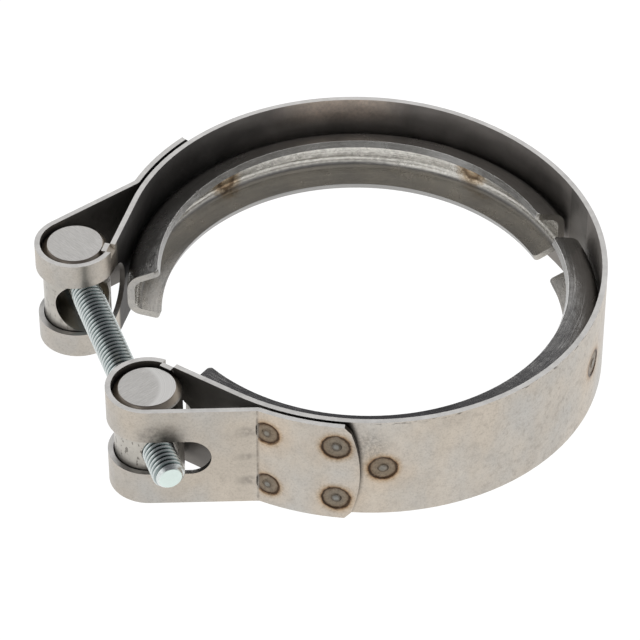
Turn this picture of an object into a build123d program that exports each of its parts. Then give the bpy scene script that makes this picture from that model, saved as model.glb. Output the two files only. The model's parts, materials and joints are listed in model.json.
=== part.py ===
from build123d import *

import os
from math import acos, asin, cos, degrees, isclose, radians, sin, sqrt, tan

os.makedirs("parts", exist_ok=True)

# Sizes in millimetres and degrees.
# The clamp lies flat: Z is the ring's axis, the ring's centre is the origin, and the gap between the
# two loops faces -X. The rear half, where the bolt's head is, lies towards +Y and the front half
# towards -Y. The strip is sprung open, so each half is round about a centre of its own, and angles
# round a half start at its gap side.

# Outer band, one strip
half_outer_diameter = 88.0
half_offset = 3.8
far_arc_angle = 140.0
band_width = 22.0
band_thickness = 1.0

# Trunnions, upright barrels held in the band's loops
trunnion_diameter = 12.7
trunnion_chamfer = 1.15
trunnion_recess = 0.4
trunnion_spacing = 43.0
trunnion_standoff = 2.35
eye_clearance = 0.23

# Loops and flaps at the ends of the strip
flap_gap = 0.65
crease_angle = 42.9
crease_inner_radius = 0.6
flap_corner_angle = 64.2
flap_crown_radius = 30.0
flap_corner_cut = 1.4
front_slot_width = 7.8
washer_side_clearance = 0.3
slot_strip_reach = 11.3
slot_wall_reach = 5.9

# Stakes, the lips bent over at the strip's edges that keep a trunnion from sliding out
stake_length = 2.4
stake_height = 1.3
stake_lean = 1.0

# Spot welds
weld_diameter = 5.2
weld_dimple_depth = 0.16
weld_dimple_slope = 0.2
weld_button_diameter = 1.7
nugget_diameter = 4.0
nugget_bite = 0.3
flap_weld_height = 6.2
flap_weld_angles = (45.2, 61.4)
segment_weld_angles = (72.1, 138.9)

# V-segments, formed channels that open towards the ring's centre. Their centres lie nearer the
# middle plane than the halves' centres, and they come closest to the band where the loops leave it.
segment_thickness = 1.4
segment_setback = 1.3
segment_gap = 0.2
segment_bend_radius = 2.0
segment_base_width = 6.8
segment_leg_depth = 5.4
segment_leg_angle = 19.0
segment_arc = 159.9
segment_corner_radius = 0.9
rear_segment_start = 17.3
front_segment_start = 19.5

# Bolt and washer
bolt_diameter = 6.0
bolt_length = 65.0
bolt_tip_chamfer = 0.9
bolt_tilt = 1.5
head_across_flats = 10.0
head_height = 4.0
head_crown_angle = 30.0
thread_clearance = 0.05
washer_diameter = 11.0
washer_hole_diameter = 6.4
washer_thickness = 1.6
washer_slack = 0.6

# Cross holes in the trunnions
clearance_hole_diameter = 8.8
funnel_diameter = 12.0
funnel_angle = 30.0
tapped_mouth_diameter = 7.4
tapped_mouth_angle = 90.0

# How far a cutting shape runs past the face that it cuts
overrun = 1.0

# Radii and places that follow from the sizes above
band_outer_radius = half_outer_diameter / 2
band_inner_radius = band_outer_radius - band_thickness
band_mid_radius = band_outer_radius - band_thickness / 2
far_arc_shift = half_offset / sin(radians(far_arc_angle))
far_mid_radius = band_mid_radius + far_arc_shift
flap_mid_radius = band_outer_radius + flap_gap + band_thickness / 2
flap_outer_radius = band_outer_radius + flap_gap + band_thickness
trunnion_radius = trunnion_diameter / 2
trunnion_length = band_width - 2 * trunnion_recess
trunnion_reach = band_outer_radius + trunnion_standoff + trunnion_radius
trunnion_y = trunnion_spacing / 2
trunnion_x = -sqrt(trunnion_reach**2 - (trunnion_y - half_offset) ** 2)
trunnion_angle = degrees(asin((trunnion_y - half_offset) / trunnion_reach))
eye_inner_radius = trunnion_radius + eye_clearance
eye_mid_radius = eye_inner_radius + band_thickness / 2
eye_outer_radius = eye_inner_radius + band_thickness
wall_angle = trunnion_angle + degrees(acos((band_mid_radius + eye_mid_radius) / trunnion_reach))
rear_slot_width = washer_diameter + 2 * washer_side_clearance


def radial(angle, side=1):
    """Unit vector outwards at an angle, in the rear half (1) or the front half (-1)."""
    return Vector(-cos(radians(angle)), side * sin(radians(angle)))


def on_half(angle, radius, side=1):
    """Point at an angle and a radius about the centre of the rear half (1) or the front half (-1)."""
    return Vector(0, side * half_offset) + radial(angle, side) * radius


def on_side(vector, side):
    """The rear half's vector, or its mirror image in the front half for side -1."""
    return Vector(vector.X, side * vector.Y)


# The rear loop: the wall leaves the ring in a straight line, the eye wraps the trunnion, and the outer
# strip comes back in a straight line to the crease, where the flap begins
rear_centre = Vector(trunnion_x, trunnion_y)
wall_normal = radial(wall_angle)
wall_foot = on_half(wall_angle, band_mid_radius)
wall_end = rear_centre - wall_normal * eye_mid_radius
wall_direction = (wall_end - wall_foot).normalized()
crease_point = on_half(crease_angle, flap_mid_radius)
crease_to_centre = rear_centre - crease_point
strip_turn = degrees(asin(eye_mid_radius / crease_to_centre.length))
strip_direction = crease_to_centre.normalized().rotate(Axis.Z, -strip_turn)
strip_normal = strip_direction.rotate(Axis.Z, -90)
strip_end = rear_centre + strip_normal * eye_mid_radius
eye_far_side = rear_centre - (strip_normal - wall_normal).normalized() * eye_mid_radius

# The far arc's centre, on the middle plane
far_centre = Vector(far_arc_shift * cos(radians(far_arc_angle)), 0)

# The bolt's line, through the front trunnion and tilted towards the ring at the head's end
front_centre = on_side(rear_centre, -1)
bolt_direction = Vector(sin(radians(bolt_tilt)), cos(radians(bolt_tilt)))
washer_face = trunnion_spacing * cos(radians(bolt_tilt)) + trunnion_radius + washer_slack
head_face = washer_face + washer_thickness
bolt_tip = head_face - bolt_length

# What is cut off the strip's two ends to shape the flaps: a shallow crown between two cut corners
crown_rise = flap_crown_radius - sqrt(flap_crown_radius**2 - (band_width / 2) ** 2)
corner_height = band_width / 2 - flap_corner_cut
corner_rise = sqrt(flap_crown_radius**2 - corner_height**2) - flap_crown_radius + crown_rise
flap_end_angle = flap_corner_angle + degrees((crown_rise + overrun) / flap_mid_radius)
with BuildPart() as flap_trim:
    flap_normal = radial(flap_corner_angle)
    flap_along = flap_normal.rotate(Axis.Z, -90)
    flap_corner = on_half(flap_corner_angle, band_mid_radius)
    with BuildSketch(Plane(flap_corner, x_dir=flap_along, z_dir=flap_normal)):
        with BuildLine():
            crown = ThreePointArc(
                (corner_rise, -corner_height), (crown_rise, 0), (corner_rise, corner_height)
            )
            Polyline(
                crown @ 1,
                (-flap_corner_cut / 2, band_width / 2),
                (-flap_corner_cut / 2, band_width / 2 + overrun),
                (crown_rise + 2 * overrun, band_width / 2 + overrun),
                (crown_rise + 2 * overrun, -band_width / 2 - overrun),
                (-flap_corner_cut / 2, -band_width / 2 - overrun),
                (-flap_corner_cut / 2, -band_width / 2),
                crown @ 0,
            )
        make_face()
    extrude(amount=flap_outer_radius - band_mid_radius + overrun, both=True)
    with Locations((0, half_offset)):
        Cylinder(
            radius=band_outer_radius + flap_gap / 2,
            height=band_width + 4 * overrun,
            mode=Mode.SUBTRACT,
        )
    mirror(about=Plane.XZ)

# Outer band
with BuildPart() as outer_band:
    with BuildSketch(Plane.XY):
        with BuildLine() as strip_path:
            ThreePointArc(
                on_half(flap_end_angle, flap_mid_radius),
                on_half((flap_end_angle + crease_angle) / 2, flap_mid_radius),
                crease_point,
            )
            Line(crease_point, strip_end)
            fillet(
                strip_path.vertices().sort_by_distance(crease_point)[0],
                radius=crease_inner_radius + band_thickness / 2,
            )
            ThreePointArc(strip_end, eye_far_side, wall_end)
            Line(wall_end, wall_foot)
            half_end = on_half(far_arc_angle, band_mid_radius)
            ThreePointArc(wall_foot, on_half(90, band_mid_radius), half_end)
            # The far arc is flatter and joins the two halves smoothly
            ThreePointArc(
                half_end,
                far_centre + radial((far_arc_angle + 180) / 2) * far_mid_radius,
                far_centre + radial(180) * far_mid_radius,
            )
            mirror(about=Plane.XZ)
        trace(line_width=band_thickness)
    extrude(amount=band_width / 2, both=True)
    add(flap_trim.part, mode=Mode.SUBTRACT)

    for side, slot_width in ((1, rear_slot_width), (-1, front_slot_width)):
        # Round-ended slot for the bolt, from the wall round the eye to the outer strip
        slot_radius = slot_width / 2
        wall_centre = wall_end - wall_direction * (slot_wall_reach - slot_radius)
        strip_centre = strip_end - strip_direction * (slot_strip_reach - slot_radius)
        wall_corner = wall_centre - wall_normal * band_thickness
        strip_corner = strip_centre + strip_normal * band_thickness
        with BuildSketch(Plane.XY):
            with BuildLine():
                Polyline(
                    on_side(wall_corner, side),
                    on_side(strip_corner, side),
                    on_side(strip_corner + strip_direction * trunnion_reach, side),
                    on_side(wall_corner + wall_direction * trunnion_reach, side),
                    close=True,
                )
            make_face()
        extrude(amount=slot_radius, both=True, mode=Mode.SUBTRACT)
        for centre, normal in ((wall_centre, wall_normal), (strip_centre, strip_normal)):
            with BuildSketch(Plane(on_side(centre, side), z_dir=on_side(normal, side))):
                Circle(slot_radius)
            extrude(amount=band_thickness, both=True, mode=Mode.SUBTRACT)

        # Weld nuggets that join the flap to the ring
        for angle in flap_weld_angles:
            for height in (-flap_weld_height, flap_weld_height):
                nugget_normal = radial(angle, side)
                nugget_foot = on_half(angle, band_outer_radius - nugget_bite, side)
                nugget_start = nugget_foot + Vector(0, 0, height)
                with BuildSketch(Plane(nugget_start, z_dir=nugget_normal)):
                    Circle(nugget_diameter / 2)
                extrude(amount=flap_gap + 2 * nugget_bite)

        # Weld marks, a shallow ring pressed round a small button
        flap_marks = [
            (angle, height, flap_outer_radius)
            for angle in flap_weld_angles
            for height in (-flap_weld_height, flap_weld_height)
        ]
        segment_marks = [(angle, 0, band_outer_radius) for angle in segment_weld_angles]
        for angle, height, radius in flap_marks + segment_marks:
            mark_normal = radial(angle, side)
            mark_point = on_half(angle, radius, side) + Vector(0, 0, height)
            mark_plane = Plane(mark_point, x_dir=(0, 0, 1), z_dir=(-mark_normal.Y, mark_normal.X, 0))
            with BuildSketch(mark_plane):
                with BuildLine():
                    Polyline(
                        (weld_button_diameter / 2 - weld_dimple_slope, weld_dimple_depth),
                        (weld_button_diameter / 2 + weld_dimple_slope, -weld_dimple_depth),
                        (weld_diameter / 2 - weld_dimple_slope, -weld_dimple_depth),
                        (weld_diameter / 2 + weld_dimple_slope, weld_dimple_depth),
                        close=True,
                    )
                make_face()
            revolve(axis=Axis(mark_point, mark_normal), mode=Mode.SUBTRACT)

        # Stakes at both edges of the wall, beside the trunnion
        for edge in (-1, 1):
            stake_plane = Plane(
                on_side(rear_centre, side),
                x_dir=on_side(-wall_normal, side),
                z_dir=on_side(-wall_normal, side).cross(Vector(0, 0, edge)),
            )
            stake_root = band_width / 2 - stake_height
            with BuildSketch(stake_plane):
                with BuildLine():
                    Polyline(
                        (eye_inner_radius - overrun / 2, stake_root),
                        (eye_outer_radius + overrun / 2, stake_root),
                        (eye_outer_radius + overrun / 2, band_width / 2 + overrun),
                        (eye_inner_radius - overrun / 2, band_width / 2 + overrun),
                        close=True,
                    )
                make_face()
            extrude(amount=stake_length / 2, both=True, mode=Mode.SUBTRACT)
            with BuildSketch(stake_plane):
                with BuildLine():
                    Polyline(
                        (eye_inner_radius, stake_root),
                        (eye_outer_radius, stake_root),
                        (eye_outer_radius - stake_lean, band_width / 2),
                        (eye_inner_radius - stake_lean, band_width / 2),
                        close=True,
                    )
                make_face()
            extrude(amount=stake_length / 2, both=True)
outer_band.part.label = "outer_band"


# The channel's section: X is the radius, Y runs along the ring's axis
segment_y = half_offset - segment_setback
segment_outer_radius = band_inner_radius - segment_gap + segment_setback * sin(radians(wall_angle))
base_radius = segment_outer_radius - segment_thickness / 2
leg_tip_radius = base_radius - segment_leg_depth
leg_tip_height = segment_base_width / 2 + segment_leg_depth * tan(radians(segment_leg_angle))
with BuildLine() as segment_section:
    Polyline(
        (leg_tip_radius, leg_tip_height),
        (base_radius, segment_base_width / 2),
        (base_radius, -segment_base_width / 2),
        (leg_tip_radius, -leg_tip_height),
    )
    fillet(
        segment_section.vertices().group_by(Axis.X)[-1],
        radius=segment_bend_radius + segment_thickness / 2,
    )


def leg_corners(segment):
    """The short edges at the four free corners of a channel's legs."""
    return segment.edges().filter_by(
        lambda edge: isclose(edge.length, segment_thickness, rel_tol=1e-6)
    )


# V-segments
with BuildPart() as rear_v_segment:
    centre = Vector(0, segment_y)
    start = radial(rear_segment_start)
    with BuildSketch(Plane(centre, x_dir=start, z_dir=start.cross(Vector(0, 0, 1)))):
        trace(segment_section.wire(), line_width=segment_thickness)
    revolve(axis=Axis(centre, (0, 0, -1)), revolution_arc=segment_arc)
    fillet(leg_corners(rear_v_segment), radius=segment_corner_radius)
rear_v_segment.part.label = "rear_v_segment"

with BuildPart() as front_v_segment:
    centre = Vector(0, -segment_y)
    start = radial(front_segment_start, -1)
    with BuildSketch(Plane(centre, x_dir=start, z_dir=start.cross(Vector(0, 0, 1)))):
        trace(segment_section.wire(), line_width=segment_thickness)
    revolve(axis=Axis(centre, (0, 0, 1)), revolution_arc=segment_arc)
    fillet(leg_corners(front_v_segment), radius=segment_corner_radius)
front_v_segment.part.label = "front_v_segment"

# Rear trunnion, with a plain cross hole and a funnel towards the gap
with BuildPart() as rear_trunnion:
    with BuildSketch(Plane(rear_centre)):
        Circle(trunnion_radius)
    extrude(amount=trunnion_length / 2, both=True)
    chamfer(rear_trunnion.edges().filter_by(GeomType.CIRCLE), length=trunnion_chamfer)
    with Locations(Plane(rear_centre - bolt_direction * trunnion_radius, z_dir=-bolt_direction)):
        CounterSinkHole(
            radius=clearance_hole_diameter / 2,
            counter_sink_radius=funnel_diameter / 2,
            counter_sink_angle=funnel_angle,
        )
rear_trunnion.part.label = "rear_trunnion"

# Front trunnion, with a tapped cross hole
with BuildPart() as front_trunnion:
    with BuildSketch(Plane(front_centre)):
        Circle(trunnion_radius)
    extrude(amount=trunnion_length / 2, both=True)
    chamfer(front_trunnion.edges().filter_by(GeomType.CIRCLE), length=trunnion_chamfer)
    for mouth_direction in (bolt_direction, -bolt_direction):
        with Locations(Plane(front_centre + mouth_direction * trunnion_radius, z_dir=mouth_direction)):
            CounterSinkHole(
                radius=bolt_diameter / 2 + thread_clearance,
                counter_sink_radius=tapped_mouth_diameter / 2,
                counter_sink_angle=tapped_mouth_angle,
            )
front_trunnion.part.label = "front_trunnion"


def bolt_plane(distance):
    """Plane across the bolt, at a distance from the front trunnion towards the head."""
    return Plane(front_centre + bolt_direction * distance, x_dir=(0, 0, 1), z_dir=bolt_direction)


# Bolt: its thread is drawn as a plain shank of the thread's outer diameter
with BuildPart() as clamp_bolt:
    with BuildSketch(bolt_plane(bolt_tip)):
        Circle(bolt_diameter / 2)
    extrude(amount=bolt_length)
    tip_edge = clamp_bolt.edges().sort_by(Axis(front_centre, bolt_direction))[0]
    chamfer(tip_edge, length=bolt_tip_chamfer)
    with BuildSketch(bolt_plane(head_face)):
        RegularPolygon(radius=head_across_flats / 2, side_count=6, major_radius=False)
    extrude(amount=head_height)
    # The head's crown, cut by a cone that starts at the flats
    crown_plane = Plane(
        front_centre + bolt_direction * (head_face + head_height),
        x_dir=(0, 0, 1),
        z_dir=Vector(0, 0, 1).cross(bolt_direction),
    )
    with BuildSketch(crown_plane):
        with BuildLine():
            Polyline(
                (head_across_flats / 2, 0),
                (head_across_flats, -head_across_flats / 2 * tan(radians(head_crown_angle))),
                (head_across_flats, 0),
                close=True,
            )
        make_face()
    revolve(axis=Axis(crown_plane.origin, bolt_direction), mode=Mode.SUBTRACT)
clamp_bolt.part.label = "clamp_bolt"

# Washer under the head
with BuildPart() as bolt_washer:
    with BuildSketch(bolt_plane(washer_face)):
        Circle(washer_diameter / 2)
        Circle(washer_hole_diameter / 2, mode=Mode.SUBTRACT)
    extrude(amount=washer_thickness)
bolt_washer.part.label = "bolt_washer"

for piece in (
    outer_band,
    rear_v_segment,
    front_v_segment,
    rear_trunnion,
    front_trunnion,
    clamp_bolt,
    bolt_washer,
):
    export_step(piece.part, f"parts/{piece.part.label}.step")
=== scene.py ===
import json
import math
from types import SimpleNamespace

import bmesh
import bpy
from mathutils import Matrix, Vector


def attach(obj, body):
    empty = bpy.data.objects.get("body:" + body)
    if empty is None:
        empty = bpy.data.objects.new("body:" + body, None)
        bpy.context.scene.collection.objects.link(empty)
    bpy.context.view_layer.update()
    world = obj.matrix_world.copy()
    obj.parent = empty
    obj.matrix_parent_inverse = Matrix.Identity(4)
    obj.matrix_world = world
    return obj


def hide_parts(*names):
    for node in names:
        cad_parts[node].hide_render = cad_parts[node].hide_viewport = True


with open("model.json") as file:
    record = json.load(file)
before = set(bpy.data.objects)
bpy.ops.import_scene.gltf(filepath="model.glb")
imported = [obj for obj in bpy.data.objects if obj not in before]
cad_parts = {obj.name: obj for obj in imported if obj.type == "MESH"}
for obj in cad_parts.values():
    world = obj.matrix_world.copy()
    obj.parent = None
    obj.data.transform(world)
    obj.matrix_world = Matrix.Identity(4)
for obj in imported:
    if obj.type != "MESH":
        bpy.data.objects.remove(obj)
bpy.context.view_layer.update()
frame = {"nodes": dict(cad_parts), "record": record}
MM = 0.001

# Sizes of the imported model, in millimetres and degrees. Each half of the band is round about a centre of
# its own, and angles round a half start at the gap (-X).
HALF_OFFSET = 3.8
BAND_RADIUS = 44.0
BAND_HALF_WIDTH = 11.0
FLAP_RADIUS = 45.65
CREASE_ANGLE = 42.9
FLAP_CORNER_ANGLE = 64.2
FLAP_CROWN_RADIUS = 30.0
FLAP_WELD_ANGLES = (45.2, 61.4)
FLAP_WELD_HEIGHT = 6.2
BAND_WELD_ANGLES = (72.1, 138.9)
EYE_RADIUS = 7.58
BOLT_LENGTH = 65.0
BOLT_RADIUS = 3.0
TIP_CHAMFER = 0.9
PITCH = 1.0

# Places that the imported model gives: the trunnions' centres, and the bolt's tip and the seat of its head,
# measured along the bolt from the front trunnion
joints = {joint["name"]: joint for joint in frame["record"]["behaviour"]["joints"]}
REAR_TRUNNION = Vector(joints["rear_barrel_turn"]["pos_m"]) / MM
FRONT_TRUNNION = Vector(joints["front_barrel_turn"]["pos_m"]) / MM
BOLT_AXIS = Vector(joints["bolt_feed"]["axis"])
bolt_points = [vertex.co / MM - FRONT_TRUNNION for vertex in frame["nodes"]["clamp_bolt"].data.vertices]
BOLT_TIP = min(point.dot(BOLT_AXIS) for point in bolt_points)
BOLT_HEAD = BOLT_TIP + BOLT_LENGTH

# Two directions square to the bolt
BOLT_UP = Vector((0.0, 0.0, 1.0))
BOLT_SIDE = BOLT_AXIS.cross(BOLT_UP)


def on_half(angle, radius, height=0.0):
    """Point of the rear half at an angle from the gap, in millimetres."""
    turn = math.radians(angle)
    return Vector((-radius * math.cos(turn), HALF_OFFSET + radius * math.sin(turn), height))


# Node helpers


def with_alpha(color):
    """A written colour with full alpha. A socket stays as it is."""
    return (*color, 1.0) if isinstance(color, tuple) else color


class Nodes:
    """A material's node tree, with short calls for the nodes that the finishes are made of."""

    def __init__(self, tree):
        tree.nodes.clear()
        self.tree = tree

    def add(self, kind, inputs=None, **settings):
        node = self.tree.nodes.new("ShaderNode" + kind)
        for name, value in settings.items():
            setattr(node, name, value)
        for name, value in (inputs or {}).items():
            if isinstance(value, bpy.types.NodeSocket):
                self.tree.links.new(value, node.inputs[name])
            else:
                node.inputs[name].default_value = value
        return node

    def math(self, operation, *values):
        return self.add("Math", dict(enumerate(values)), operation=operation).outputs[0]

    def chain(self, operation, values):
        """One result of several values, taken two at a time."""
        result, *others = values
        for value in others:
            result = self.math(operation, result, value)
        return result

    def times(self, *values):
        return self.chain("MULTIPLY", values)

    def size_of(self, value):
        return self.math("ABSOLUTE", value)

    def apart(self, value, place):
        return self.size_of(self.math("SUBTRACT", value, place))

    def opposite(self, value):
        return self.math("SUBTRACT", 1.0, value)

    def vector(self, *parts):
        return self.add("CombineXYZ", dict(enumerate(parts))).outputs[0]

    def split(self, vector):
        return self.add("SeparateXYZ", {0: vector}).outputs

    def scaled(self, vector, factors):
        return self.add("VectorMath", {0: vector, 1: factors}, operation="MULTIPLY").outputs[0]

    def between(self, vector, place):
        return self.add("VectorMath", {0: vector, 1: place}, operation="SUBTRACT").outputs[0]

    def dot(self, first, second):
        return self.add("VectorMath", {0: first, 1: second}, operation="DOT_PRODUCT").outputs["Value"]

    def distance(self, first, second):
        return self.add("VectorMath", {0: first, 1: second}, operation="DISTANCE").outputs["Value"]

    def reach(self, x, y):
        """Length of a flat vector."""
        return self.math("SQRT", self.math("ADD", self.times(x, x), self.times(y, y)))

    def noise(self, vector, scale=1.0, detail=3.0, roughness=0.5, distortion=0.0):
        inputs = {
            "Vector": vector,
            "Scale": scale,
            "Detail": detail,
            "Roughness": roughness,
            "Distortion": distortion,
        }
        return self.add("TexNoise", inputs).outputs[0]

    def remap(self, value, low, high, to_low=0.0, to_high=1.0, smooth=False):
        inputs = {0: value, 1: low, 2: high, 3: to_low, 4: to_high}
        kind = "SMOOTHSTEP" if smooth else "LINEAR"
        return self.add("MapRange", inputs, interpolation_type=kind).outputs[0]

    def blend(self, factor, first, second):
        """Mix of two numbers."""
        return self.add("Mix", {0: factor, 2: first, 3: second}).outputs[0]

    def mix(self, factor, first, second, kind="MIX"):
        """Mix of two colours."""
        inputs = {0: factor, 6: with_alpha(first), 7: with_alpha(second)}
        return self.add("Mix", inputs, data_type="RGBA", blend_type=kind).outputs[2]

    def shaded(self, color, shade):
        gray = self.add("CombineColor", {0: shade, 1: shade, 2: shade}).outputs[0]
        return self.mix(1.0, color, gray, "MULTIPLY")

    def ramp(self, value, stops):
        node = self.add("ValToRGB", {0: value})
        band = node.color_ramp
        while len(band.elements) > 1:
            band.elements.remove(band.elements[-1])
        for index, (place, color) in enumerate(stops):
            element = band.elements[0] if index == 0 else band.elements.new(place)
            element.position = place
            element.color = with_alpha(color)
        return node.outputs[0]

    def bump(self, height, depth, normal=None):
        """Bumps of a depth in millimetres, on top of those of another normal."""
        inputs = {"Height": height, "Distance": depth * MM, "Strength": 1.0}
        if normal is not None:
            inputs["Normal"] = normal
        return self.add("Bump", inputs).outputs[0]

    def position(self):
        """The row frame's point, in millimetres."""
        point = self.add("TexCoord").outputs["Object"]
        return self.scaled(point, (1.0 / MM, 1.0 / MM, 1.0 / MM))

    def true_normal(self):
        return self.add("NewGeometry").outputs["True Normal"]

    def metal(self, color, roughness, normal):
        inputs = {"Base Color": color, "Metallic": 1.0, "Roughness": roughness, "Normal": normal}
        surface = self.add("BsdfPrincipled", inputs)
        self.add("OutputMaterial", {"Surface": surface.outputs[0]})


def new_material(name):
    material = bpy.data.materials.new(name)
    material.use_nodes = True
    return material, Nodes(material.node_tree)


# Rolled strip: each finish below takes the colour so far and gives it back with one more mark on it

# The press tool's smears: height, half width of the solid part and of the whole, and strength
SMEARS = ((6.0, 0.5, 1.6, 1.0), (0.0, 0.4, 1.1, 0.8), (-5.8, 0.5, 1.5, 1.0))

# The ramp over the distance from a weld's centre, as shares of its reach
WELD_TINT_REACH = 7.0
WELD_RINGS = (
    (0.00, (0.46, 0.48, 0.49)),
    (0.06, (0.40, 0.41, 0.41)),
    (0.11, (0.20, 0.175, 0.15)),
    (0.15, (0.37, 0.325, 0.275)),
    (0.24, (0.42, 0.37, 0.31)),
    (0.30, (0.36, 0.295, 0.235)),
    (0.335, (0.12, 0.08, 0.055)),
    (0.375, (0.11, 0.07, 0.045)),
    (0.400, (0.55, 0.39, 0.26)),
    (0.44, (0.86, 0.74, 0.61)),
    (0.56, (1.0, 0.96, 0.92)),
    (1.0, (1.0, 1.0, 1.0)),
)


def strip_places(n):
    """Where a point lies on the strip and which way its surface faces, the same for both halves."""
    at = SimpleNamespace(point=n.position())
    x, y, at.z = n.split(at.point)
    at.folded = n.vector(x, n.size_of(y), at.z)
    facing_x, facing_y, at.facing_z = n.split(n.true_normal())
    at.facing = n.vector(facing_x, n.times(facing_y, n.math("SIGN", y)))

    # Round the half's centre, and along the strip from the crease in millimetres
    from_half = n.between(at.folded, (0.0, HALF_OFFSET, 0.0))
    half_x, half_y = n.split(from_half)[:2]
    to_gap = n.times(half_x, -1.0)
    at.reach = n.reach(half_x, half_y)
    at.angle = n.math("DEGREES", n.math("ARCTAN2", half_y, to_gap))
    at.along = n.times(n.math("SUBTRACT", at.angle, CREASE_ANGLE), math.radians(1.0) * FLAP_RADIUS)
    at.ahead = n.vector(half_y, to_gap)
    at.on_flap = n.remap(at.reach, FLAP_RADIUS - 0.9, FLAP_RADIUS - 0.6)

    # The inner side faces the ring's centre, or the trunnion where the strip goes round it
    from_eye = n.between(at.folded, REAR_TRUNNION)
    eye_x, eye_y = n.split(from_eye)[:2]
    off_eye = n.remap(n.reach(eye_x, eye_y), EYE_RADIUS + 0.1, EYE_RADIUS + 0.4)
    before_crease = n.remap(at.angle, CREASE_ANGLE + 0.6, CREASE_ANGLE - 0.4)
    turned_in = n.times(n.remap(n.dot(at.facing, from_half), -2.0, -8.0), off_eye)
    at.in_loop = n.times(n.remap(n.dot(at.facing, from_eye), -1.0, -4.0), before_crease)
    at.inside = n.math("MAXIMUM", turned_in, at.in_loop)
    at.outside = n.opposite(at.inside)

    # Patterns that several marks share
    at.cloud = n.noise(at.point, scale=0.11, detail=6.0, roughness=0.62, distortion=0.4)
    at.grain = n.noise(n.scaled(at.point, (0.25, 0.25, 9.0)), detail=4.0, roughness=0.6)
    at.speck = n.noise(at.point, scale=2.6, detail=4.0, roughness=0.75)
    at.blotch = n.noise(at.point, scale=1.3, detail=5.0, roughness=0.7)
    return at


def strip_base(n, at):
    """Satin steel between grey and tan, with rolling lines and specks, a little darker before the crease."""
    warm = n.noise(n.scaled(at.point, (1.0, 1.0, 0.6)), scale=0.075, detail=4.0, roughness=0.55)
    color = n.mix(n.remap(warm, 0.38, 0.62, 0.1, 1.0), (0.515, 0.498, 0.468), (0.575, 0.515, 0.44))
    shade = n.times(
        n.remap(at.cloud, 0.3, 0.7, 0.88, 1.06),
        n.remap(at.grain, 0.25, 0.75, 0.96, 1.03),
        n.remap(at.speck, 0.32, 0.52, 0.80, 1.0),
        n.remap(at.along, -2.0, 1.0, 0.92, 1.0),
    )
    return n.shaded(color, shade)


def weld_distance(n, at):
    """Distance to the nearest spot weld, with an uneven edge. The welds by the crease are smaller."""
    small_weld = 1.13
    by_crease, by_end = FLAP_WELD_ANGLES
    gaps = []
    for height in (FLAP_WELD_HEIGHT, -FLAP_WELD_HEIGHT):
        gaps.append(n.times(n.distance(at.folded, on_half(by_crease, FLAP_RADIUS, height)), small_weld))
        gaps.append(n.distance(at.folded, on_half(by_end, FLAP_RADIUS, height)))
    for angle in BAND_WELD_ANGLES:
        gaps.append(n.distance(at.folded, on_half(angle, BAND_RADIUS)))
    waver = n.noise(at.point, scale=0.8, detail=4.0, roughness=0.65)
    return n.math("ADD", n.chain("MINIMUM", gaps), n.remap(waver, 0.3, 0.7, -0.14, 0.14))


def weld_tint(n, at, color):
    """Rings of heat tint round each weld, grey in the middle and nearly black at the rim."""
    nearest = weld_distance(n, at)
    rings = n.ramp(n.math("DIVIDE", nearest, WELD_TINT_REACH), WELD_RINGS)
    ringed = n.mix(1.0, color, rings, "MULTIPLY")
    blotched = n.shaded(ringed, n.remap(at.blotch, 0.35, 0.65, 0.82, 1.12))
    tinted = n.mix(n.remap(nearest, 2.9, 4.2, 1.0, 0.0), ringed, blotched)
    return n.mix(n.times(at.outside, n.remap(at.along, 0.0, 0.15)), color, tinted)


def end_smudge(n, at, color):
    """A grey smudge on the band beside the flap's end."""
    gap = n.distance(at.folded, on_half(69.0, BAND_RADIUS, 5.5))
    near = n.remap(gap, 1.5, 5.0, 1.0, 0.0, smooth=True)
    broken = n.remap(n.noise(at.point, scale=1.7, detail=5.0, roughness=0.8), 0.42, 0.58)
    return n.mix(n.times(near, broken, 0.55, at.outside), color, (0.20, 0.19, 0.175))


def crease_shade_line(n, at, color):
    """A dark line painted along the flap's crease as shade, broken into short pieces."""
    # Painted shade: a thin dark line along the crease
    line = n.remap(n.size_of(at.along), 0.08, 0.28, 1.0, 0.0, smooth=True)
    pattern = n.noise(n.scaled(at.point, (0.3, 0.3, 1.0)), scale=0.8, detail=2.0)
    broken = n.remap(pattern, 0.35, 0.6, 0.25, 1.0)
    return n.mix(n.times(line, broken, at.on_flap, 0.6, at.outside), color, (0.12, 0.10, 0.085))


def grime(n, at, color):
    """Fine mottled grime that grows towards the far side."""
    mottle = n.remap(n.noise(at.point, scale=0.75, detail=7.0, roughness=0.78), 0.50, 0.66)
    towards_far = n.remap(at.angle, 78.0, 128.0, 0.22, 0.62)
    return n.mix(n.times(mottle, towards_far, at.outside), color, (0.27, 0.235, 0.20))


def edge_nicks(n, at, color):
    """Dark nicks along the band's upper edge, past the flap."""
    pattern = n.noise(n.scaled(at.folded, (0.55, 0.55, 2.0)), detail=3.0)
    by_edge = n.remap(at.z, BAND_HALF_WIDTH - 0.7, BAND_HALF_WIDTH - 0.4)
    past_flap = n.remap(at.angle, 66.0, 72.0)
    nicks = n.times(n.remap(pattern, 0.56, 0.62), by_edge, past_flap, 0.75)
    return n.mix(n.times(nicks, at.outside), color, (0.10, 0.09, 0.08))


def tool_smears(n, at, color):
    """Three smears from the press tool, one above the other, just before the crease."""
    rows = []
    for height, solid, faded, strength in SMEARS:
        rows.append(n.remap(n.apart(at.z, height), solid, faded, strength, 0.0))
    before_crease = n.remap(n.apart(at.along, -1.5), 0.5, 2.2, 1.0, 0.0)
    broken = n.remap(at.blotch, 0.38, 0.55)
    smears = n.times(n.chain("MAXIMUM", rows), before_crease, broken, 0.5)
    return n.mix(n.times(smears, at.outside), color, (0.17, 0.155, 0.14))


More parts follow.
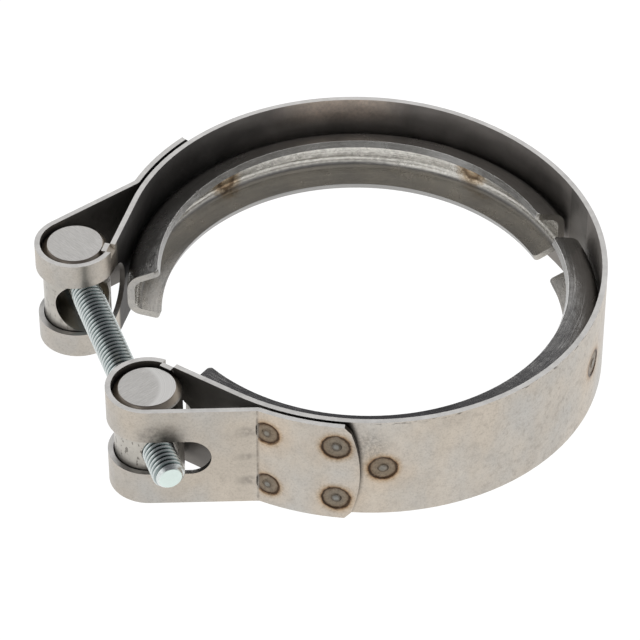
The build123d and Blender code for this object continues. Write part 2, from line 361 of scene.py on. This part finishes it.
def flap_end_shadows(n, at, color):
    """The flap's crowned end face is painted nearly black as shade, and a painted shadow falls on the band
    just beside it.
    """
    # Painted shade: the flap's end face is nearly black
    past_middle = n.remap(at.along, 10.0, 12.0)
    towards_end = n.math("DIVIDE", n.dot(at.facing, at.ahead), at.reach)
    color = n.mix(n.times(n.remap(towards_end, 0.35, 0.6), past_middle), color, (0.035, 0.028, 0.022))

    # Painted shadow on the band just past the flap's crowned end
    corner = math.radians(FLAP_CORNER_ANGLE - CREASE_ANGLE) * FLAP_RADIUS
    crown_centre = corner - math.sqrt(FLAP_CROWN_RADIUS**2 - BAND_HALF_WIDTH**2)
    crown = n.math("SQRT", n.math("SUBTRACT", FLAP_CROWN_RADIUS**2, n.times(at.z, at.z)))
    past_end = n.math("SUBTRACT", n.math("SUBTRACT", at.along, crown_centre), crown)
    shadow = n.remap(past_end, -0.4, 1.0, 1.0, 0.0, smooth=True)
    shadow = n.times(shadow, past_middle, n.opposite(at.on_flap), 0.9)
    return n.mix(n.times(shadow, at.outside), color, (0.05, 0.042, 0.035))


def bolt_soot(n, at, color):
    """Dark soot above and beside the bolt's slot."""
    soot_centre = (-50.2, 28.8, 4.4)
    near = n.remap(n.distance(at.folded, soot_centre), 1.0, 5.2, 1.0, 0.0, smooth=True)
    broken = n.remap(n.noise(at.point, scale=0.9, detail=5.0, roughness=0.7), 0.30, 0.62, 0.2, 1.0)
    return n.mix(n.times(near, broken, 0.8, at.outside), color, (0.10, 0.095, 0.09))


def inner_side_shade(n, at, color):
    """The inner side is painted darker as shade: nearly black by the gap, and worn to brown high on the far
    side.
    """
    inner = n.mix(n.remap(at.angle, 72.0, 92.0), (0.185, 0.175, 0.165), (0.29, 0.268, 0.25))
    worn_angle = 107.0
    worn = n.times(
        n.remap(n.apart(at.angle, worn_angle), 4.0, 20.0, 1.0, 0.0, smooth=True),
        n.remap(at.z, 4.5, 8.5, smooth=True),
        n.remap(at.blotch, 0.3, 0.6, 0.6, 1.0),
    )
    inner = n.mix(worn, inner, (0.74, 0.63, 0.54))
    # Painted shade: nearly black by the gap and inside the loops round the trunnions
    inner = n.mix(n.remap(at.angle, 75.0, 48.0), inner, (0.095, 0.09, 0.086))
    inner = n.mix(at.in_loop, inner, (0.20, 0.188, 0.175))
    inner = n.shaded(inner, n.remap(at.cloud, 0.3, 0.7, 0.8, 1.15))
    return n.mix(at.inside, color, inner)


def cut_edges(n, at, color):
    """The strip's cut edges are plain and a little brighter."""
    edge = n.remap(n.size_of(at.facing_z), 0.85, 0.98)
    lines = n.noise(n.scaled(at.point, (0.6, 0.6, 3.0)), scale=1.2, detail=4.0)
    return n.mix(edge, color, n.mix(lines, (0.50, 0.49, 0.475), (0.70, 0.685, 0.66)))


STRIP_MARKS = (
    weld_tint,
    end_smudge,
    crease_shade_line,
    grime,
    edge_nicks,
    tool_smears,
    flap_end_shadows,
    bolt_soot,
    inner_side_shade,
    cut_edges,
)


def strip_material():
    """Rolled stainless strip: speckled satin outside, dull and painted darker inside as shade, with heat
    tint round the spot welds.
    """
    material, n = new_material("rolled_strip")
    at = strip_places(n)
    color = strip_base(n, at)
    for mark in STRIP_MARKS:
        color = mark(n, at, color)
    satin = n.math("ADD", n.remap(at.cloud, 0.3, 0.7, 0.34, 0.42), n.remap(at.grain, 0.3, 0.7, -0.02, 0.02))
    roughness = n.math("ADD", satin, n.times(at.inside, 0.16))
    height = n.math("ADD", n.times(at.grain, 0.6), n.times(at.speck, 0.9))
    fine = n.bump(height, 0.013)
    dents = n.bump(n.noise(at.point, scale=0.22, detail=2.0), 0.22, fine)
    n.metal(color, roughness, dents)
    return material


# Formed channel

SCORCHED_SPOTS = ((-12.3, 42.8, -0.9), (33.8, 27.8, 0.0))
SCORCH_REACH = 4.0
SCORCH_RINGS = (
    (0.0, (0.85, 0.72, 0.55)),
    (0.25, (0.62, 0.47, 0.33)),
    (0.42, (0.22, 0.15, 0.10)),
    (0.60, (0.75, 0.62, 0.48)),
    (1.0, (1.0, 1.0, 1.0)),
)


def channel_material():
    """Formed stainless channel: darker and smoother than the strip, with drawing lines along its length."""
    material, n = new_material("formed_channel")
    point = n.position()
    x, y, z = n.split(point)
    reach = n.reach(x, y)
    off_plane = n.size_of(z)
    angle = n.math("ARCTAN2", y, n.times(x, -1.0))
    rolled = n.vector(reach, z, n.times(angle, 1.6))
    lines = n.noise(n.scaled(rolled, (3.2, 3.2, 1.0)), detail=5.0, roughness=0.7)
    cloud = n.noise(point, scale=0.14, detail=5.0, roughness=0.6, distortion=0.6)
    speckle = n.noise(point, scale=1.4, detail=5.0, roughness=0.8)
    shade = n.times(n.remap(lines, 0.3, 0.7, 0.82, 1.10), n.remap(cloud, 0.3, 0.7, 0.9, 1.05))
    color = n.mix(n.remap(cloud, 0.35, 0.65), (0.40, 0.39, 0.37), (0.46, 0.435, 0.395))
    color = n.shaded(color, shade)

    # Painted light and shade by facing: the base and the backs of the legs are painted paler where light
    # falls, the sheared rims are painted darker as shade, and the rims' corners get a painted highlight
    facing = n.true_normal()
    facing_z = n.split(facing)[2]
    outward = n.math("DIVIDE", n.dot(facing, n.vector(x, y)), reach)
    base = n.times(n.remap(outward, -0.6, -0.9), n.remap(off_plane, 3.6, 3.0))
    color = n.mix(base, color, n.shaded((0.70, 0.68, 0.63), n.remap(speckle, 0.35, 0.6, 0.72, 1.05)))
    back = n.remap(n.times(facing_z, n.math("SIGN", z)), 0.5, 0.8)
    color = n.mix(back, color, n.shaded((0.52, 0.51, 0.49), shade))
    rim = n.times(n.remap(outward, -0.86, -0.92), n.remap(off_plane, 4.2, 4.5))
    color = n.mix(rim, color, n.shaded((0.34, 0.335, 0.325), shade))
    # Painted highlight: near-white corners on the sheared rims
    corner = n.times(
        n.remap(outward, 0.10, -0.02),
        n.remap(outward, -0.84, -0.78),
        n.remap(z, 4.3, 4.5),
        n.remap(facing_z, 0.3, 0.5),
    )
    color = n.mix(corner, color, (0.97, 0.965, 0.95))

    # Scorched spots where the channel is welded to the band
    uneven = n.remap(speckle, 0.3, 0.7, -0.7, 0.7)
    for place in SCORCHED_SPOTS:
        gap = n.math("ADD", n.distance(point, place), uneven)
        spot = n.ramp(n.math("DIVIDE", gap, SCORCH_REACH), SCORCH_RINGS)
        color = n.mix(1.0, color, spot, "MULTIPLY")

    roughness = n.math("SUBTRACT", n.remap(cloud, 0.3, 0.7, 0.20, 0.30), n.times(corner, 0.12))
    drawn = n.bump(lines, 0.03)
    n.metal(color, roughness, n.bump(n.noise(point, scale=0.3, detail=2.0), 0.12, drawn))
    return material


# Turned bar


def turned_material(name, centre, brush_turn, tool_arc, pitting):
    """Turned bar: rings round its side, a brushed end face, and on one trunnion the tool's bright arc."""
    material, n = new_material(name)
    point = n.position()
    local = n.between(point, centre)
    x, y, z = n.split(local)

    # The end face is brushed across, and past the arc it has curved lines instead
    brush = {"Vector": local, "Angle": math.radians(brush_turn)}
    turned = n.add("VectorRotate", brush, rotation_type="Z_AXIS").outputs[0]
    brushed = n.noise(n.scaled(turned, (0.7, 7.0, 1.0)), detail=5.0, roughness=0.65)
    arc_centre = (-4.4, 1.2, 0.0)
    arc_x, arc_y = n.split(n.between(local, arc_centre))[:2]
    arc_reach = n.reach(arc_x, arc_y)
    curved = n.noise(n.vector(n.times(arc_reach, 6.0)))
    in_arc = n.times(n.remap(arc_reach, 6.4, 7.2, smooth=True), tool_arc)
    face_height = n.blend(in_arc, brushed, curved)
    face_color = n.mix(n.remap(face_height, 0.3, 0.7), (0.42, 0.41, 0.39), (0.60, 0.585, 0.565))
    arc_color = n.mix(n.remap(curved, 0.35, 0.65), (0.55, 0.54, 0.52), (0.68, 0.67, 0.65))
    face_color = n.mix(in_arc, face_color, arc_color)

    # The side has fine rings and dark pits, and the cross hole is brownish
    rings = n.noise(n.vector(n.times(z, 7.0)), detail=4.0, roughness=0.6)
    cloud = n.noise(point, scale=0.35, detail=4.0, roughness=0.6)
    pits = n.remap(n.noise(n.scaled(point, (1.0, 1.0, 0.6)), scale=1.3), 0.60, 0.65)
    side_color = n.mix(n.remap(cloud, 0.35, 0.65), (0.40, 0.38, 0.345), (0.50, 0.475, 0.43))
    side_color = n.mix(n.times(pits, pitting), side_color, (0.09, 0.08, 0.07))
    in_hole = n.remap(n.reach(x, y), 6.2, 6.0)
    side_color = n.mix(in_hole, side_color, n.mix(cloud, (0.42, 0.35, 0.28), (0.62, 0.55, 0.46)))

    on_face = n.remap(n.size_of(n.split(n.true_normal())[2]), 0.9, 0.97)
    color = n.mix(on_face, side_color, face_color)
    n.metal(color, n.blend(on_face, 0.30, 0.36), n.bump(n.blend(on_face, rings, face_height), 0.03))
    return material


# Zinc plating


def zinc_material():
    """Bright zinc plating with a cool cast, pale on its tip, with painted shade in the thread's roots, dark
    blue-green.
    """
    material, n = new_material("zinc_plate")
    point = n.position()
    from_axis = n.between(point, FRONT_TRUNNION)
    along = n.dot(from_axis, BOLT_AXIS)
    depth = n.reach(n.dot(from_axis, BOLT_UP), n.dot(from_axis, BOLT_SIDE))
    cloud = n.noise(point, scale=0.5, detail=4.0, roughness=0.6)
    speck = n.noise(point, scale=3.0, roughness=0.6)
    color = n.mix(n.remap(cloud, 0.3, 0.7), (0.62, 0.665, 0.66), (0.76, 0.79, 0.78))
    color = n.mix(n.remap(speck, 0.30, 0.38, 0.5, 0.0), color, (0.22, 0.24, 0.235))
    # Painted shade: the thread's roots are painted nearly black, tinted blue-green
    root = n.times(
        n.remap(depth, 2.95, 2.62),
        n.remap(along, BOLT_TIP + 0.7, BOLT_TIP + 1.3),
        n.remap(along, BOLT_HEAD, BOLT_HEAD - 0.05),
        0.92,
    )
    color = n.mix(root, color, (0.085, 0.13, 0.13))
    tip = n.remap(along, BOLT_TIP + 0.1, BOLT_TIP + 0.02)
    color = n.mix(tip, color, n.shaded((0.74, 0.84, 0.80), n.remap(cloud, 0.3, 0.7, 0.9, 1.0)))
    roughness = n.math("ADD", n.remap(cloud, 0.3, 0.7, 0.20, 0.30), n.times(tip, 0.2))
    n.metal(color, roughness, n.bump(speck, 0.02))
    return material


# Mesh helpers

SHARP_ANGLE = 28.0

# Points nearer than this, in metres, are one point
JOIN_GAP = 1e-7


def new_object(name, mesh):
    piece = bpy.data.objects.new(name, mesh)
    bpy.context.scene.collection.objects.link(piece)
    return piece


def smooth(piece, angle):
    """Smooth shading that keeps flat faces flat, by weighting each normal with its faces' areas."""
    for polygon in piece.data.polygons:
        polygon.use_smooth = True
    piece.data.set_sharp_from_angle(angle=math.radians(angle))
    weighted = piece.modifiers.new("weighted", "WEIGHTED_NORMAL")
    weighted.keep_sharp = True
    weighted.weight = 60


def soften_edges(bm, width):
    """Rounds every sharp edge by a small radius."""
    limit = math.radians(SHARP_ANGLE)
    edges = [e for e in bm.edges if len(e.link_faces) == 2 and e.calc_face_angle(0.0) > limit]
    bmesh.ops.bevel(
        bm, geom=edges, offset=width * MM, segments=2, profile=0.5, affect="EDGES", clamp_overlap=True
    )


def clean_copy(node):
    """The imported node's mesh with its doubled points joined and its flat triangles merged."""
    bm = bmesh.new()
    bm.from_mesh(frame["nodes"][node].data)
    bmesh.ops.remove_doubles(bm, verts=bm.verts, dist=JOIN_GAP)
    bmesh.ops.dissolve_limit(bm, angle_limit=math.radians(0.3), verts=bm.verts, edges=bm.edges)
    return bm


def mesh_from(bm, name):
    mesh = bpy.data.meshes.new(name)
    bm.to_mesh(mesh)
    bm.free()
    for attribute in ("custom_normal", "sharp_face", "sharp_edge"):
        if attribute in mesh.attributes:
            mesh.attributes.remove(mesh.attributes[attribute])
    return mesh


def finished(name, bm, material, smooth_angle=35.0):
    """A new piece of one material with smooth shading."""
    piece = new_object(name, mesh_from(bm, name))
    piece.data.materials.clear()
    piece.data.materials.append(material)
    smooth(piece, smooth_angle)
    return piece


def dressed(node, body, material, edge_width):
    """A node's own shape with softened edges and a finish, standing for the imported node."""
    bm = clean_copy(node)
    soften_edges(bm, edge_width)
    piece = finished(node + "_dressed", bm, material)
    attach(piece, body)
    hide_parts(node)


# Bolt: an M6 thread cut into the shank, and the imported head

STEPS_PER_TURN = 40

# One thread from root to root: share of the pitch, and radius
THREAD_PROFILE = ((0.0, 2.43), (0.14, 2.40), (0.28, 2.43), (0.57, 2.96), (0.64, 3.0), (0.71, 2.96))


def thread_row(bm, index):
    """One profile of the thread at a step of its helix, cut off at the tip, its chamfer and the head."""
    turn = 2 * math.pi * index / STEPS_PER_TURN
    spoke = BOLT_UP * math.cos(turn) + BOLT_SIDE * math.sin(turn)
    row = []
    for place, radius in THREAD_PROFILE:
        along = BOLT_TIP - PITCH + PITCH * (index / STEPS_PER_TURN + place)
        along = min(max(along, BOLT_TIP), BOLT_HEAD)
        limit = BOLT_RADIUS - max(0.0, TIP_CHAMFER - (along - BOLT_TIP))
        point = FRONT_TRUNNION + BOLT_AXIS * along + spoke * min(radius, limit)
        row.append(bm.verts.new(point * MM))
    return row


def thread_mesh(bm):
    """The threaded shank, from profile to profile and from each turn to the next, and its flat tip."""
    turns = int((BOLT_HEAD - BOLT_TIP) / PITCH) + 2
    steps = turns * STEPS_PER_TURN
    rows = [thread_row(bm, index) for index in range(steps + 1)]
    for index in range(steps):
        here, there = rows[index], rows[index + 1]
        for k in range(len(THREAD_PROFILE) - 1):
            bm.faces.new((here[k], there[k], there[k + 1], here[k + 1]))
        next_turn = index + STEPS_PER_TURN
        if next_turn + 1 < len(rows):
            bm.faces.new((here[-1], there[-1], rows[next_turn + 1][0], rows[next_turn][0]))

    centre = bm.verts.new((FRONT_TRUNNION + BOLT_AXIS * BOLT_TIP) * MM)
    rim = [rows[i][0] for i in range(STEPS_PER_TURN)]
    for i in range(STEPS_PER_TURN):
        bm.faces.new((centre, rim[(i + 1) % STEPS_PER_TURN], rim[i]))


def bolt_head(bm):
    """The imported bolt's head with softened edges, without the shank."""
    source = clean_copy("clamp_bolt")
    shank = []
    for face in source.faces:
        middle = face.calc_center_median() / MM - FRONT_TRUNNION
        if middle.dot(BOLT_AXIS) < BOLT_HEAD - 0.01:
            shank.append(face)
    bmesh.ops.delete(source, geom=shank, context="FACES")
    soften_edges(source, 0.12)
    head = bpy.data.meshes.new("head")
    source.to_mesh(head)
    source.free()
    bm.from_mesh(head)
    bpy.data.meshes.remove(head)


def build_bolt(material):
    bm = bmesh.new()
    thread_mesh(bm)
    bmesh.ops.remove_doubles(bm, verts=bm.verts, dist=JOIN_GAP)
    bmesh.ops.recalc_face_normals(bm, faces=bm.faces)
    bolt_head(bm)
    piece = finished("threaded_bolt", bm, material, 40.0)
    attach(piece, "bolt")
    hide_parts("clamp_bolt")


strip = strip_material()
channel = channel_material()
rear_turned = turned_material("turned_rear", REAR_TRUNNION, brush_turn=68.0, tool_arc=0.0, pitting=0.35)
front_turned = turned_material("turned_front", FRONT_TRUNNION, brush_turn=-20.0, tool_arc=1.0, pitting=0.70)
zinc = zinc_material()

dressed("outer_band", "ring", strip, 0.12)
dressed("rear_v_segment", "ring", channel, 0.3)
dressed("front_v_segment", "ring", channel, 0.3)
dressed("rear_trunnion", "rear_barrel", rear_turned, 0.08)
dressed("front_trunnion", "front_barrel", front_turned, 0.08)
dressed("bolt_washer", "washer", zinc, 0.1)
build_bolt(zinc)


# Floor, world and lamps

WHITE = (1.0, 1.0, 1.0)
PALE_GREY = (0.86, 0.86, 0.86)


def seen_straight(n):
    """Factor that is 1 for what the camera, a mirror or glass sees straight away."""
    path = n.add("LightPath").outputs
    kinds = ("Is Camera Ray", "Is Glossy Ray", "Is Transmission Ray")
    return n.chain("MAXIMUM", [path[kind] for kind in kinds])


def build_floor():
    bm = bmesh.new()
    bmesh.ops.create_circle(bm, cap_ends=True, segments=64, radius=3.0)
    floor = new_object("floor", mesh_from(bm, "floor"))
    floor.location.z = -BAND_HALF_WIDTH * MM
    material, n = new_material("pale_floor")
    paint = n.add("BsdfDiffuse", {"Color": with_alpha(PALE_GREY)})
    glow = n.add("Emission", {"Color": with_alpha(WHITE), "Strength": 1.2})
    share = n.times(seen_straight(n), 0.85)
    both = n.add("MixShader", {0: share, 1: paint.outputs[0], 2: glow.outputs[0]})
    n.add("OutputMaterial", {"Surface": both.outputs[0]})
    floor.data.materials.append(material)


def build_world():
    """A dome that is white at the horizon and dark overhead, and plain white to the camera."""
    world = bpy.data.worlds.new("studio")
    bpy.context.scene.world = world
    world.use_nodes = True
    n = Nodes(world.node_tree)
    height = n.split(n.add("TexCoord").outputs["Generated"])[2]
    dome = n.ramp(
        n.remap(height, 0.0, 1.0),
        (
            (0.0, (1.0, 1.0, 1.0)),
            (0.25, (0.75, 0.75, 0.75)),
            (0.50, (0.30, 0.30, 0.31)),
            (0.75, (0.12, 0.12, 0.13)),
            (1.0, (0.08, 0.08, 0.09)),
        ),
    )
    camera_ray = n.add("LightPath").outputs["Is Camera Ray"]
    color = n.mix(camera_ray, dome, WHITE)
    background = n.add("Background", {"Color": color, "Strength": 1.0})
    n.add("OutputWorld", {"Surface": background.outputs[0]})


def add_lamp(name, direction, distance, size, energy):
    data = bpy.data.lights.new(name, "AREA")
    data.shape = "RECTANGLE"
    data.size = size[0]
    data.size_y = size[1]
    data.energy = energy
    lamp = new_object(name, data)
    lamp.location = Vector(direction).normalized() * distance
    lamp.rotation_euler = (-lamp.location).to_track_quat("-Z", "Y").to_euler()


build_floor()
build_world()
add_lamp("key", (0.28, 0.69, 0.67), distance=1.3, size=(1.1, 0.8), energy=2.6)
add_lamp("fill", (-0.7, -0.5, 0.45), distance=1.4, size=(0.8, 0.8), energy=1.2)


# Camera: the ring's centre sits right of and above the middle of the image


def build_camera():
    azimuth = math.radians(-20.43)
    elevation = math.radians(40.86)
    distance = 684.7
    shift_right = 7.995
    shift_up = 4.541
    flat = math.cos(elevation)
    back = Vector((math.sin(azimuth) * flat, -math.cos(azimuth) * flat, math.sin(elevation)))
    right = Vector((math.cos(azimuth), math.sin(azimuth), 0.0))
    up = back.cross(right)
    place = back * distance - right * shift_right - up * shift_up
    data = bpy.data.cameras.new("camera")
    data.sensor_width = 36.0
    data.lens = 203.8
    data.clip_start = 0.05
    data.clip_end = 20.0
    camera = new_object("camera", data)
    rotation = Matrix((right, up, back)).transposed()
    camera.matrix_world = Matrix.Translation(place * MM) @ rotation.to_4x4()
    bpy.context.scene.camera = camera


build_camera()
bpy.context.scene.view_settings.view_transform = "Standard"
